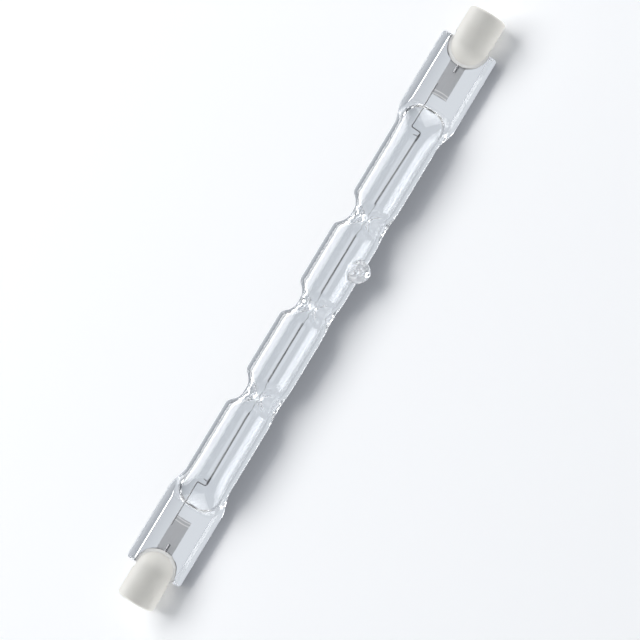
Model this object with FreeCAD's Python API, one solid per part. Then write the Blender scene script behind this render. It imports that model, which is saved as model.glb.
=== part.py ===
"""Double-ended linear halogen bulb: a quartz tube with three crimps, pressed flat at both ends.

Millimetres. X runs along the bulb and Z is up. The origin is the light centre: on the axis, midway between
the two contacts. Each piece is made with the flats of the press seals level, then the whole bulb is rolled
about its axis to where it comes to rest: on the underside of the tube and on one rib of each press seal.
"""
import FreeCAD, Part
import math
import os

Vector = FreeCAD.Vector

# Overall length, from rim to rim of the ceramic caps
overall_length = 117.6

# Quartz tube
tube_diameter = 8.6
tube_wall = 0.85

# Shoulders, where the round tube closes down to the press seal
shoulder_length = 9.0
skin_tail = 0.4
void_setback = 1.5
void_flare = 0.75
void_nose_length = 2.95

# Press seals, an I section in the glass
seal_length = 14.5
seal_width = 10.6
seal_overlap = 2.8
web_thickness = 1.7
rib_width = 1.2
rib_height = 2.8
rib_edge_radius = 0.4
seal_corner_radius = 0.6

# Crimps, three dents around the tube at each
crimp_spacing = 17.8
crimp_length = 7.2
crimp_passage = 0.9
crimp_lobe_drop = 0.25

# Exhaust tip, where the tube was filled and sealed off
tip_place = 9.4
tip_lean = 52.0
tip_diameter = 4.2
tip_height = 2.8
tip_straight = 0.35
tip_point_length = 0.55
tip_point_diameter = 1.1
tip_end_diameter = 0.35
tip_bore = 1.9
tip_bore_end = 0.5
tip_bore_height = 1.4

# Filament and its leads
filament_wire = 0.08
coil_diameter = 0.42
straight_leg = 6.4
filament_tail = 0.7
left_droop = 0.15
right_droop = 0.4
inner_lead_diameter = 0.22
inner_lead_offset = 1.5
inner_lead_reach = 4.0
inner_lead_bend = 0.3
inner_lead_slant = 0.45
inner_lead_in_coil = 1.2
outer_lead_diameter = 0.5
weld_press = 0.02

# Sealing foils
foil_thickness = 0.05
foil_width = 3.0
foil_length = 8.0
foil_shift = 0.15
foil_setback = 2.8
weld_length = 2.0
outer_weld_length = 3.0

# Ceramic caps
cap_diameter = 7.0
cap_edge_radius = 0.35
cap_straight = 6.4
cap_floor = 5.05
slot_gap = 1.1
cement_gap = 0.15
cement_rim = 0.4
lead_clearance = 0.1

# Contacts, at the bottom of the recess in each cap
recess_diameter = 4.2
recess_depth = 1.7
contact_diameter = 3.6
contact_thickness = 0.6
contact_chamfer = 0.1

# Smooth skin: points around the tube and the step between its rings
skin_points = 24
skin_step = 1.0
skin_rounds = 14

# Places along the axis, measured from the light centre
rim_x = overall_length / 2
contact_x = rim_x - recess_depth
dome_x = rim_x - cap_straight
slot_floor_x = rim_x - cap_floor
seal_end_x = slot_floor_x - slot_gap
seal_start_x = seal_end_x - seal_length
shoulder_end_x = seal_start_x + seal_overlap
shoulder_x = shoulder_end_x - shoulder_length
void_end_x = shoulder_end_x - void_setback
foil_inner_x = void_end_x + foil_setback
foil_outer_x = foil_inner_x + foil_length
lead_bend_x = void_end_x - inner_lead_reach
coil_end_x = lead_bend_x - inner_lead_slant

# Radii and heights
tube_radius = tube_diameter / 2
bore_radius = tube_radius - tube_wall
coil_radius = coil_diameter / 2
inner_lead_radius = inner_lead_diameter / 2
outer_lead_radius = outer_lead_diameter / 2
foil_top_z = weld_press - inner_lead_radius
outer_lead_z = foil_top_z + outer_lead_radius - weld_press
crimp_places = (-crimp_spacing, 0.0, crimp_spacing)
ends = {"left": (-1, left_droop), "right": (1, right_droop)}

# Roll of the bulb at rest, where the rounded edge of a rib is as low as the tube
rib_out = seal_width / 2 - rib_edge_radius
rib_down = rib_height / 2 - rib_edge_radius
rib_dip = math.asin((tube_radius - rib_edge_radius) / math.hypot(rib_out, rib_down))
rest_roll = math.degrees(rib_dip - math.atan2(rib_down, rib_out))


def crimp_strength(x):
    """Share of the full crimp at this place along the tube, 1 at its middle and 0 at its ends."""
    away = min(abs(x - place) for place in crimp_places)
    share = min(away / (crimp_length / 2), 1.0)
    return (1 + math.cos(math.pi * share)) / 2


def shoulder_share(x, length):
    """How far along the shoulder this place is, 0 on the round tube and 1 at the shoulder's end."""
    return min(max((abs(x) - shoulder_x) / length, 0.0), 1.0)


def dented(radius, throat, x, angle):
    """Radius of a crimped tube at this angle, whose first dent faces +Y."""
    strength = crimp_strength(x)
    dent = (radius - throat) * (1 + math.cos(3 * angle)) / 2
    lobe = crimp_lobe_drop * (1 - math.cos(3 * angle)) / 2
    return radius - strength * (dent + lobe)


def outer_point(x, angle):
    """A point of the tube's outer skin."""
    radius = dented(tube_radius, crimp_passage / 2 + tube_wall, x, angle)
    share = shoulder_share(x, shoulder_length)
    widest = seal_width / 2 - rib_edge_radius / 2
    wide = 1 + (widest / tube_radius - 1) * share ** 2
    high = math.cos(math.pi / 2 * share)
    return Vector(x, radius * wide * math.cos(angle), radius * high * math.sin(angle))


def inner_point(x, angle):
    """A point of the hollow inside the tube, which closes to a rounded nose in each shoulder."""
    radius = dented(bore_radius, crimp_passage / 2, x, angle)
    length = void_end_x + skin_tail - shoulder_x
    share = shoulder_share(x, length)
    nose = max(abs(x) - (void_end_x + skin_tail / 2 - void_nose_length), 0.0) / void_nose_length
    wide = (1 + void_flare / bore_radius * share ** 2) * math.sqrt(1 - nose ** 2)
    high = math.cos(math.pi / 2 * share)
    return Vector(x, radius * wide * math.cos(angle), radius * high * math.sin(angle))


def end_face(rim):
    """A flat face inside this rim, turned to face out of the tube."""
    face = Part.Face(Part.Wire([rim]))
    if face.normalAt(0, 0).x * rim.BoundBox.Center.x < 0:
        face.reverse()
    return face


def skin_solid(half_length, point_at):
    """One smooth closed skin through rings of points, with a flat face at each end."""
    gaps = 2 * round(half_length / skin_step)
    places = [half_length * (2 * i / gaps - 1) for i in range(gaps + 1)]
    angles = [-2 * math.pi * k / skin_points for k in range(skin_points)]
    wanted = [[point_at(x, angle) for angle in angles] for x in places]
    poles = [[Vector(point) for point in ring] for ring in wanted]
    for _ in range(skin_rounds):
        across = [[(ring[k - 1] + ring[k] * 4 + ring[(k + 1) % skin_points]) / 6 for k in range(skin_points)]
                  for ring in poles]
        for i, ring in enumerate(poles):
            for k in range(skin_points):
                reached = across[i][k]
                if 0 < i < gaps:
                    reached = (across[i - 1][k] + across[i][k] * 4 + across[i + 1][k]) / 6
                ring[k] = ring[k] + wanted[i][k] - reached
                ring[k].x = places[i]
    along_knots = [float(i) for i in range(gaps - 1)]
    along_counts = [4] + [1] * (gaps - 3) + [4]
    around_knots = [float(k) for k in range(skin_points + 1)]
    around_counts = [1] * (skin_points + 1)
    surface = Part.BSplineSurface()
    surface.buildFromPolesMultsKnots(
        poles, along_counts, around_counts, along_knots, around_knots, False, True, 3, 3)
    skin = surface.toShape()
    rims = [edge for edge in skin.Edges if edge.BoundBox.XLength < skin_step / 2]
    return Part.Solid(Part.Shell([skin] + [end_face(rim) for rim in rims]))


def box_between(low, high):
    """A box between two opposite corners."""
    size = high - low
    return Part.makeBox(size.x, size.y, size.z, low)


def rod_between(start, stop, radius):
    """A round rod between two points."""
    along = stop - start
    return Part.makeCylinder(radius, along.Length, start, along)


def bent_rod(points, bend, radius):
    """A round wire along straight runs joined by tangent arcs."""
    edges = []
    start = points[0]
    for before, corner, after in zip(points, points[1:], points[2:]):
        back = (before - corner).normalize()
        on = (after - corner).normalize()
        half = back.getAngle(on) / 2
        inward = (back + on).normalize()
        first = corner + back * (bend / math.tan(half))
        last = corner + on * (bend / math.tan(half))
        middle = corner + inward * (bend / math.sin(half) - bend)
        edges.append(Part.LineSegment(start, first).toShape())
        edges.append(Part.Arc(first, middle, last).toShape())
        start = last
    edges.append(Part.LineSegment(start, points[-1]).toShape())
    section = Part.Wire([Part.makeCircle(radius, points[0], points[1] - points[0])])
    return Part.Wire(edges).makePipeShell([section], True, False)


def mirrored(shape, side):
    """The shape as made for the +X end, or turned to the other end."""
    return shape if side > 0 else shape.mirror(Vector(0, 0, 0), Vector(1, 0, 0))


def press_seal():
    """The pressed end of the tube: a thin web between two ribs, with rounded outer corners."""
    half = seal_width / 2
    length = seal_end_x - seal_start_x
    web = box_between(Vector(seal_start_x, -half + rib_width / 2, -web_thickness / 2),
                      Vector(seal_end_x, half - rib_width / 2, web_thickness / 2))
    ribs = []
    for side in (-1, 1):
        low = min(side * half, side * (half - rib_width))
        rib = Part.makeBox(length, rib_width, rib_height, Vector(seal_start_x, low, -rib_height / 2))
        long_edges = [edge for edge in rib.Edges if edge.BoundBox.XLength > length / 2]
        ribs.append(rib.makeFillet(rib_edge_radius, long_edges))
    plate = box_between(Vector(seal_start_x, -half, -rib_height), Vector(seal_end_x, half, rib_height))
    upright = [edge for edge in plate.Edges
               if edge.BoundBox.ZLength > rib_height and edge.BoundBox.XMin > seal_end_x - length / 2]
    return web.fuse(ribs).removeSplitter().common(plate.makeFillet(seal_corner_radius, upright))


def tip_axis():
    """Where the exhaust tip leaves the bulb's axis, and its direction."""
    lean = math.radians(tip_lean)
    return Vector(tip_place, 0, 0), Vector(0, -math.sin(lean), math.cos(lean))


def exhaust_tip():
    """The sealed-off stub of the filling tube: a dome that ends in a small drawn-out point."""
    centre, along = tip_axis()
    across = along.cross(Vector(0, 1, 0)).normalize()
    radius = tip_diameter / 2
    point_radius = tip_point_diameter / 2
    end_radius = tip_end_diameter / 2
    root = bore_radius + tube_wall / 4
    brow = tube_radius + tip_straight
    top = tube_radius + tip_height
    dome_top = top - tip_point_length
    half_way = math.sqrt(0.5)

    def at(place, out):
        return centre + along * place + across * out

    dome_middle = at(brow + (dome_top - brow) * half_way, point_radius + (radius - point_radius) * half_way)
    edges = [
        Part.LineSegment(at(root, 0), at(root, radius)).toShape(),
        Part.LineSegment(at(root, radius), at(brow, radius)).toShape(),
        Part.Arc(at(brow, radius), dome_middle, at(dome_top, point_radius)).toShape(),
        Part.LineSegment(at(dome_top, point_radius), at(top, end_radius)).toShape(),
        Part.LineSegment(at(top, end_radius), at(top, 0)).toShape(),
        Part.LineSegment(at(top, 0), at(root, 0)).toShape(),
    ]
    return Part.Face(Part.Wire(edges)).revolve(centre, along, 360)


def tip_hollow():
    """What is left of the filling tube's bore inside the tip."""
    centre, along = tip_axis()
    across = along.cross(Vector(0, 1, 0)).normalize()
    foot = bore_radius - tube_wall
    end = tube_radius + tip_bore_height
    outline = [(foot, 0), (foot, tip_bore / 2), (tube_radius, tip_bore / 2), (end, tip_bore_end / 2), (end, 0)]
    corners = [centre + along * place + across * out for place, out in outline]
    return Part.Face(Part.makePolygon(corners + corners[:1])).revolve(centre, along, 360)


def coil_axis(side, droop):
    """The two ends of the outermost coiled run at one end of the bulb, from the crimp outwards."""
    near = Vector(side * (crimp_spacing + straight_leg / 2), 0, 0)
    far = Vector(side * coil_end_x, -droop, 0)
    return near, far


def coiled_run(start, stop):
    """One coiled run of the filament, as the hollow round outline of its turns."""
    return rod_between(start, stop, coil_radius).cut(rod_between(start, stop, inner_lead_radius))


def filament():
    """The tungsten wire: four coiled runs, the straight legs between them and a cut end at each end."""
    wire_height = (coil_radius + inner_lead_radius) / 2
    lift = Vector(0, 0, wire_height)
    pieces = []
    for side, droop in ends.values():
        near, far = coil_axis(side, droop)
        pieces.append(coiled_run(near, far))
        inner_start = Vector(side * straight_leg / 2, 0, 0)
        inner_stop = Vector(side * (crimp_spacing - straight_leg / 2), 0, 0)
        pieces.append(coiled_run(inner_start, inner_stop))
        tail_root = far + (near - far).normalize() * coil_diameter + Vector(0, wire_height, 0)
        pieces.append(rod_between(tail_root, tail_root + Vector(0, filament_tail, 0), filament_wire / 2))
    into_turns = Vector(filament_wire, 0, 0)
    for place in crimp_places:
        half = Vector(straight_leg / 2, 0, 0)
        middle = Vector(place, 0, 0) + lift
        pieces.append(rod_between(middle - half - into_turns, middle + half + into_turns, filament_wire / 2))
    return pieces[0].fuse(pieces[1:])


def foil(side):
    """The thin sealing strip inside a press seal."""
    low = Vector(foil_inner_x, foil_shift - foil_width / 2, foil_top_z - foil_thickness)
    high = Vector(foil_outer_x, foil_shift + foil_width / 2, foil_top_z)
    return mirrored(box_between(low, high), side)


def flat_on_foil(wire, side):
    """The wire pressed flat where it is welded onto the foil."""
    deep = outer_lead_diameter
    low = Vector(foil_inner_x, -foil_width, foil_top_z - deep)
    high = Vector(foil_outer_x, foil_width, foil_top_z)
    return wire.cut(mirrored(box_between(low, high), side))


def inner_lead(side, droop):
    """The bent wire from the foil, through the glass, into the end of the filament's coil."""
    near, far = coil_axis(side, droop)
    into_coil = far + (near - far).normalize() * inner_lead_in_coil
    points = [
        Vector(side * (foil_inner_x + weld_length), inner_lead_offset, 0),
        Vector(side * lead_bend_x, inner_lead_offset, 0),
        far + (far - near).normalize() * inner_lead_bend,
        into_coil,
    ]
    return flat_on_foil(bent_rod(points, inner_lead_bend, inner_lead_radius), side)


def outer_lead(side):
    """The straight wire from the foil out to the contact."""
    start = Vector(side * (foil_outer_x - outer_weld_length), 0, outer_lead_z)
    stop = Vector(side * (contact_x - contact_thickness), 0, outer_lead_z)
    return flat_on_foil(rod_between(start, stop, outer_lead_radius), side)


def cap_blank(radius_over):
    """The turned outside of a cap, or of the cement that shows around it: a round body with a domed end."""
    radius = cap_diameter / 2 + radius_over
    along = Vector(1, 0, 0)
    ball = Part.makeSphere(radius, Vector(dome_x, 0, 0))
    half_ball = ball.common(Part.makeCylinder(2 * radius, 2 * radius, Vector(dome_x, 0, 0), -along))
    body = Part.makeCylinder(radius, rim_x - dome_x, Vector(dome_x, 0, 0), along)
    rim = [edge for edge in body.Edges if edge.BoundBox.XMin > rim_x - cap_edge_radius]
    return half_ball.fuse(body.makeFillet(cap_edge_radius, rim)).removeSplitter()


def slot(end_x):
    """The slot in a cap as far as this place, which straddles the web of the press seal with room for cement."""
    half = web_thickness / 2 + cement_gap
    low = Vector(dome_x - cap_diameter, -seal_width, -half)
    high = Vector(end_x, seal_width, half)
    return box_between(low, high)


def ceramic_cap(side):
    """The glazed ceramic cap: two rounded ears over the seal, and a round body with a recess for the contact."""
    along = Vector(1, 0, 0)
    seat_x = contact_x - contact_thickness
    recess = Part.makeCylinder(recess_diameter / 2, recess_depth, Vector(contact_x, 0, 0), along)
    seat = Part.makeCylinder(contact_diameter / 2, contact_thickness, Vector(seat_x, 0, 0), along)
    way = rod_between(Vector(slot_floor_x, 0, outer_lead_z), Vector(seat_x, 0, outer_lead_z),
                      outer_lead_radius + lead_clearance)
    return mirrored(cap_blank(0).cut([slot(slot_floor_x), recess, seat, way]), side)


def contact(side):
    """The round metal contact, flush with the floor of the recess."""
    seat_x = contact_x - contact_thickness
    disc = Part.makeCylinder(contact_diameter / 2, contact_thickness, Vector(seat_x, 0, 0), Vector(1, 0, 0))
    edges = [edge for edge in disc.Edges if edge.BoundBox.XMin > seat_x + contact_thickness / 2]
    return mirrored(disc.makeChamfer(contact_chamfer, edges), side)


def cement(side, filled):
    """The thin bed of cement between a cap's slot and the seal, with a little squeezed out around the ears."""
    bed = cap_blank(cement_rim).common(slot(seal_end_x + cement_gap))
    return mirrored(bed, side).cut(filled)


def quartz_envelope(inserts):
    """The tube, its crimps, seals and exhaust tip in one piece of glass, around the wires and foils in it."""
    tube = skin_solid(shoulder_end_x - skin_tail, outer_point)
    seals = [mirrored(press_seal(), side) for side in (-1, 1)]
    glass = tube.fuse(seals + [exhaust_tip()])
    hollow = skin_solid(void_end_x, inner_point)
    return glass.cut([hollow, tip_hollow()] + inserts)


def build():
    """Every piece of the bulb, by name, as it lies at rest."""
    pieces = {"filament": filament()}
    for name, (side, droop) in ends.items():
        pieces["inner_lead_" + name] = inner_lead(side, droop)
        pieces["outer_lead_" + name] = outer_lead(side)
        pieces["foil_" + name] = foil(side)
    wires = [shape for name, shape in pieces.items() if name != "filament"]
    glass = quartz_envelope(wires)
    pieces["quartz_envelope"] = glass
    for name, (side, _) in ends.items():
        pieces["ceramic_cap_" + name] = ceramic_cap(side)
        pieces["contact_" + name] = contact(side)
        pieces["cement_" + name] = cement(side, [glass] + wires)
    along = Vector(1, 0, 0)
    return {name: shape.rotated(Vector(0, 0, 0), along, rest_roll) for name, shape in pieces.items()}


def main():
    os.makedirs("parts", exist_ok=True)
    for name, shape in build().items():
        shape.exportStep(f"parts/{name}.step")
        box = shape.BoundBox
        print(f"{name}: {len(shape.Solids)} solid, valid {shape.isValid()}, volume {shape.Volume:.3f} mm3,",
              f"x {box.XMin:.2f} to {box.XMax:.2f}, y {box.YMin:.2f} to {box.YMax:.2f},",
              f"z {box.ZMin:.2f} to {box.ZMax:.2f}")


main()
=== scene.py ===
# %% [markdown]
# # A linear halogen bulb, dressed around its frame
# The frame holds the solid of every piece of the bulb, at its real size and in its real place. This file
# gives those pieces their looks: clear quartz, a wound filament, metal foils and wires, and ceramic caps.
# Nothing on the bulb moves, so every piece rides on the one body, "root".

# %% Load the frame
import math

import bpy
import numpy as np
from mathutils import Matrix, Vector


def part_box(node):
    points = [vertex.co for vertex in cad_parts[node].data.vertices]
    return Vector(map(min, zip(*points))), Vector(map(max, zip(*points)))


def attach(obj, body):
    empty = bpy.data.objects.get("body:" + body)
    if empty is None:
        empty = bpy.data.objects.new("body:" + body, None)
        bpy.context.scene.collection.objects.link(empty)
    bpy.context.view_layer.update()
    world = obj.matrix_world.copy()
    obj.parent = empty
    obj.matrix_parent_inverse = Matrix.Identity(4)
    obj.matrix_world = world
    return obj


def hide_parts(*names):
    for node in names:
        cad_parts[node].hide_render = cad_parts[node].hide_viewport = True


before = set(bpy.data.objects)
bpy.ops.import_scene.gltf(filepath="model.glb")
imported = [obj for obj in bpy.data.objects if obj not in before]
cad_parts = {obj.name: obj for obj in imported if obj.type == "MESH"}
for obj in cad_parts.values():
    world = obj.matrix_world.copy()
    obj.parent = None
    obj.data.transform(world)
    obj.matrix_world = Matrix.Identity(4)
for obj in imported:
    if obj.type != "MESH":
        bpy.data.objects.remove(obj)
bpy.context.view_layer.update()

scene = bpy.context.scene
scene.view_settings.view_transform = "Standard"
print("nodes:", sorted(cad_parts))

# %% [markdown]
# ## Sizes and the way the bulb lies
# The bulb is drawn here with the flats of its press seals level, because that is how its makers think of
# it, and each finished piece is then rolled about the X axis to where the bulb comes to rest, on its tube
# and on one rib of each seal. The roll follows from the tube's radius and the rib, and the slope of the foil
# in the frame is printed beside it.

# %% Sizes in millimetres, and the roll
MM = 0.001
TUBE_RADIUS = 4.3
BORE_RADIUS = 3.45
SEAL_END = 52.65
SEAL_HALF_WIDTH = 5.3
WEB_HALF = 0.84
RIB_HALF = 1.4
RIB_EDGE = 0.4

rib_out = SEAL_HALF_WIDTH - RIB_EDGE
rib_down = RIB_HALF - RIB_EDGE
ROLL = math.asin((TUBE_RADIUS - RIB_EDGE) / math.hypot(rib_out, rib_down)) - math.atan2(rib_down, rib_out)
low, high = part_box("foil_right")
foil_roll = math.atan2(high.z - low.z, high.y - low.y)
print(f"roll {math.degrees(ROLL):.2f} degrees, foil in the frame {math.degrees(foil_roll):.2f}")

# %% [markdown]
# ## Shader maths as plain expressions
# A finish is easier to read as arithmetic than as a heap of nodes. This class holds one output of a node:
# adding or multiplying such outputs adds Math nodes, and `add` brings in any other node with its settings
# and its inputs.


# %% A socket that can be reckoned with
class Wire:
    """A node's output in one tree of nodes."""

    def __init__(self, tree, socket=None):
        self.tree = tree
        self.socket = socket

    def add(self, kind, settings=None, inputs=None, output=0):
        """Any node: its settings first, then the values or links of its sockets."""
        node = self.tree.nodes.new(kind)
        for name, value in (settings or {}).items():
            setattr(node, name, value)
        for name, value in (inputs or {}).items():
            if isinstance(value, Wire):
                self.tree.links.new(value.socket, node.inputs[name])
            else:
                node.inputs[name].default_value = value
        return Wire(self.tree, node.outputs[output])

    def math(self, operation, first, second=0.0):
        """A Math node on one or two values."""
        return self.add("ShaderNodeMath", {"operation": operation}, {0: first, 1: second})

    def __add__(self, other):
        return self.math("ADD", self, other)

    __radd__ = __add__

    def __mul__(self, other):
        return self.math("MULTIPLY", self, other)

    __rmul__ = __mul__

    def __sub__(self, other):
        return self.math("SUBTRACT", self, other)

    def __rsub__(self, other):
        return self.math("SUBTRACT", other, self)


print("operators on a wire:", [name for name in vars(Wire) if name in ("__add__", "__mul__", "__sub__")])

# %% [markdown]
# Four more helpers serve every finish: one starts a material, one ends it, one lays noise on the piece's
# own coordinates, so that a finish stays put when the piece moves, and one blends two colours.


# %% Helpers for finishes
def new_finish(name):
    """An empty material and the wire to draw it with."""
    material = bpy.data.materials.new(name)
    material.use_nodes = True
    material.node_tree.nodes.clear()
    return material, Wire(material.node_tree)


def close_finish(wire, shader, outlet="ShaderNodeOutputMaterial"):
    """Lead the shader to the end of its tree."""
    end = wire.tree.nodes.new(outlet)
    wire.tree.links.new(shader.socket, end.inputs["Surface"])
    print("finish closed with", len(wire.tree.nodes), "nodes")


def grain(wire, scale, detail=2.0, stretch=(1, 1, 1)):
    """Noise on the piece's own coordinates, stretched where a finish has a direction."""
    place = wire.add("ShaderNodeTexCoord", output="Object")
    turned = wire.add("ShaderNodeMapping", None, {"Vector": place, "Scale": stretch})
    return wire.add("ShaderNodeTexNoise", None, {"Vector": turned, "Scale": scale, "Detail": detail})


def blend_colours(wire, share, first, second):
    """A colour between two, by share."""
    settings = {"data_type": "RGBA"}
    return wire.add("ShaderNodeMix", settings, {"Factor": share, "A": first, "B": second}, output=2)


# %% [markdown]
# ## Quartz
# Fused quartz is water clear, bends light a little less than window glass, and shows faint lines along the
# tube from when it was drawn. A lamp's light would not come through a glass shader in a reasonable number
# of samples, so rays that look for a lamp see a grey clear sheet instead, which gives the tube the soft
# grey shadow of real glass.

# %% Quartz finish
QUARTZ_IOR = 1.458
QUARTZ_SHADE = (0.36, 0.37, 0.39, 1)

quartz, wire = new_finish("quartz")
drawn_lines = grain(wire, scale=900.0, detail=1.0, stretch=(0.02, 1, 1))
ripples = wire.add("ShaderNodeBump", None, {"Strength": 0.05, "Distance": 0.00001, "Height": drawn_lines})
clear = wire.add("ShaderNodeBsdfPrincipled", None, {
    "Base Color": (0.985, 0.992, 1.0, 1), "Roughness": 0.0, "IOR": QUARTZ_IOR, "Transmission Weight": 1.0,
    "Normal": ripples})
sheet = wire.add("ShaderNodeBsdfTransparent", None, {"Color": QUARTZ_SHADE})
lamp_ray = wire.add("ShaderNodeLightPath", output="Is Shadow Ray")
close_finish(wire, wire.add("ShaderNodeMixShader", None, {0: lamp_ray, 1: clear, 2: sheet}))

# %% [markdown]
# ## The envelope's outer skin
# The envelope starts as a round tube. Hot jaws pinch it three times, each pinch making three dents around
# the tube, and press both ends flat into a web between two ribs. A cylinder divided into many rings can
# follow all of that: each ring keeps its vertices in order and only takes a new outline. Dents and presses
# can't be modelled by single operators without breaking the smooth skin, and clear glass shows every kink,
# so the rings are shaped by formula.

# %% The crimped tube
CRIMPS = (-17.8, 0.0, 17.8)
CRIMP_HALF = 3.6
CRIMP_PASSAGE = 0.45
LOBE_DROP = 0.25
WALL = TUBE_RADIUS - BORE_RADIUS


def crimp_strength(x):
    """1 in the middle of a crimp, 0 outside it."""
    away = np.min([np.abs(x - place) for place in CRIMPS], axis=0)
    return (1 + np.cos(math.pi * np.clip(away / CRIMP_HALF, 0, 1))) / 2


def dented_radius(radius, throat, x, angle):
    """Radius of the crimped tube, whose first dent faces +Y."""
    dent = (radius - throat) * (1 + np.cos(3 * angle)) / 2
    lobe = LOBE_DROP * (1 - np.cos(3 * angle)) / 2
    return radius - crimp_strength(x) * (dent + lobe)


print("radius of a dent:", round(float(dented_radius(TUBE_RADIUS, CRIMP_PASSAGE + WALL, 0.0, 0.0)), 3))

# %% [markdown]
# A press seal is a thin web between two ribs. One quarter of its outline is drawn and mirrored twice. It
# has as many points as the round tube, in the same order, so that the tube can turn into it ring by ring.

# %% The pressed seal
SKIN_SIDES = 128
RIB_TOP = 4.75
SLOPE_START = 4.6
SLOPE_LENGTH = 0.65
SLOPE_ROUNDING = 0.3


def smooth_step(share):
    """An S-shaped rise from 0 to 1."""
    share = np.clip(share, 0, 1)
    return share * share * (3 - 2 * share)


def soft_ramp(share):
    """A straight rise from 0 to 1 whose two ends are rounded."""
    return (1 - SLOPE_ROUNDING) * share + SLOPE_ROUNDING * smooth_step(share)


def seal_outline(sides):
    """One ring of the press seal: web, rib slopes and rounded rib edges, in order around the ring."""
    face = [(SEAL_HALF_WIDTH, z) for z in np.linspace(0, rib_down, 5)]
    turns = np.linspace(0, math.pi / 2, 6)[1:]
    edge = [(rib_out + RIB_EDGE * math.cos(t), rib_down + RIB_EDGE * math.sin(t)) for t in turns]
    top = [(RIB_TOP, RIB_HALF)]
    slope = [(SLOPE_START - SLOPE_LENGTH * t, WEB_HALF + (RIB_HALF - WEB_HALF) * (1 - soft_ramp(t)))
             for t in np.linspace(0, 1, 9)]
    left = sides // 4 - len(face) - len(edge) - len(top) - len(slope) + 1
    web = [(y, WEB_HALF) for y in np.linspace(slope[-1][0], 0, left + 1)[1:]]
    quarter = np.array(face + edge + top + slope + web)
    mirrored = quarter[-2::-1] * (-1, 1)
    half = np.vstack([quarter, mirrored])
    return np.vstack([half, half[-2:0:-1] * (1, -1)])


SEAL_RING = seal_outline(SKIN_SIDES)
print("seal ring of", len(SEAL_RING), "points")

# %% [markdown]
# Between tube and seal lies the shoulder: the tube's height falls in a full curve to the web while its
# width flares to the ribs. Where dome and web meet, the crease is rounded as soft glass rounds it.

# %% From tube to seal
SHOULDER = 31.95
SHOULDER_LENGTH = 8.7
SHOULDER_FULLNESS = 0.8
FLARE = (34.4, 38.6)
PRESSED = (33.0, 38.4)
CREASE = 0.28
NOT_ZERO = 1e-9


def smooth_max(a, b, blend):
    """The larger of two heights, with the crease rounded where they differ by less than blend."""
    near = np.clip(blend - np.abs(a - b), 0, None)
    return np.maximum(a, b) + near ** 2 / np.maximum(4 * blend, NOT_ZERO)


def outer_ring(x):
    """The outer skin's outline at one place along the bulb."""
    far = abs(x)
    angle = np.arange(SKIN_SIDES) * (2 * math.pi / SKIN_SIDES)
    if far <= SHOULDER:
        radius = dented_radius(TUBE_RADIUS, CRIMP_PASSAGE + WALL, x, angle)
        return np.column_stack([radius * np.cos(angle), radius * np.sin(angle)])
    flare = smooth_step((far - FLARE[0]) / (FLARE[1] - FLARE[0]))
    width = TUBE_RADIUS + (SEAL_HALF_WIDTH - TUBE_RADIUS) * flare
    fall = max(math.cos(math.pi / 2 * min((far - SHOULDER) / SHOULDER_LENGTH, 1)), 0.0)
    height = TUBE_RADIUS * fall ** SHOULDER_FULLNESS
    pressed = smooth_step((far - PRESSED[0]) / (PRESSED[1] - PRESSED[0]))
    across = (1 - pressed) * np.cos(angle) + pressed * SEAL_RING[:, 0] / SEAL_HALF_WIDTH
    domed = height * np.sqrt(np.clip(1 - across ** 2, 0, 1))
    flat = np.abs(SEAL_RING[:, 1]) * pressed
    up = np.sign(np.round(SEAL_RING[:, 1], 6))
    rise = np.where(up == 0, 0, smooth_max(domed, flat, CREASE * pressed * np.minimum(flat / WEB_HALF, 1)))
    return np.column_stack([width * across, up * rise])


print("half width and half height at 36 mm:", outer_ring(36.0).max(0).round(2))

# %% [markdown]
# The last half millimetre of each seal is rounded, in plan at its corners and all around its edge. The
# rings crowd together there, in the shoulders, in the crimps and under the exhaust tip, and stand further
# apart on plain runs.

# %% Places of the rings
CORNER = 0.6
END_EDGE = 0.15
TUBE_RUNS = ((0, 3.8, 0.2), (3.8, 6.4, 0.65), (6.4, 12.4, 0.4), (12.4, 14, 0.8), (14, 21.6, 0.2),
             (21.6, 31.5, 0.7))
SEAL_RUNS = ((31.5, 41.5, 0.2), (41.5, 52.05, 0.75), (52.05, 52.5, 0.09), (52.5, SEAL_END, 0.03))


def rounded_end(x, ring):
    """Draw the outline in towards the end of a seal."""
    corner = max(abs(x) - (SEAL_END - CORNER), 0.0)
    edge = max(abs(x) - (SEAL_END - END_EDGE), 0.0)
    narrower = CORNER - math.sqrt(max(CORNER ** 2 - corner ** 2, 0.0))
    lower = END_EDGE - math.sqrt(max(END_EDGE ** 2 - edge ** 2, 0.0))
    scale = np.array([1 - narrower / SEAL_HALF_WIDTH, 1 - lower / WEB_HALF])
    return ring * scale


def spaced(*runs):
    """Places along the whole bulb, from runs of (start, stop, gap) along half of it."""
    places = [0.0]
    for start, stop, gap in runs:
        count = max(round((stop - start) / gap), 1)
        places += list(np.linspace(start, stop, count + 1)[1:])
    half = np.array(places)
    return np.concatenate([-half[:0:-1], half])


outer_places = spaced(*TUBE_RUNS, *SEAL_RUNS)
print("rings on the outer skin:", len(outer_places))

# %% [markdown]
# ## Working by hand, in code
# A modeller adds a primitive, goes into edit mode, picks what they need and runs an operator on it. These
# helpers do the same. They clear the selection first, because an operator acts on everything that is
# selected.


# %% Helpers for picking and editing
def leave_edit():
    """Back to object mode, which brings the edited mesh up to date."""
    if bpy.context.mode != "OBJECT":
        bpy.ops.object.mode_set(mode="OBJECT")


def clear_selection():
    """Leave edit mode and let go of every object."""
    leave_edit()
    bpy.ops.object.select_all(action="DESELECT")


def take(piece):
    """Select this piece alone."""
    clear_selection()
    piece.select_set(True)
    bpy.context.view_layer.objects.active = piece


def edit(piece):
    """Go into edit mode on this piece, with what is picked on it."""
    take(piece)
    bpy.ops.object.mode_set(mode="EDIT")


def edit_all(piece):
    """Go into edit mode on this piece, with everything picked."""
    edit(piece)
    bpy.ops.mesh.select_all(action="SELECT")


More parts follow.
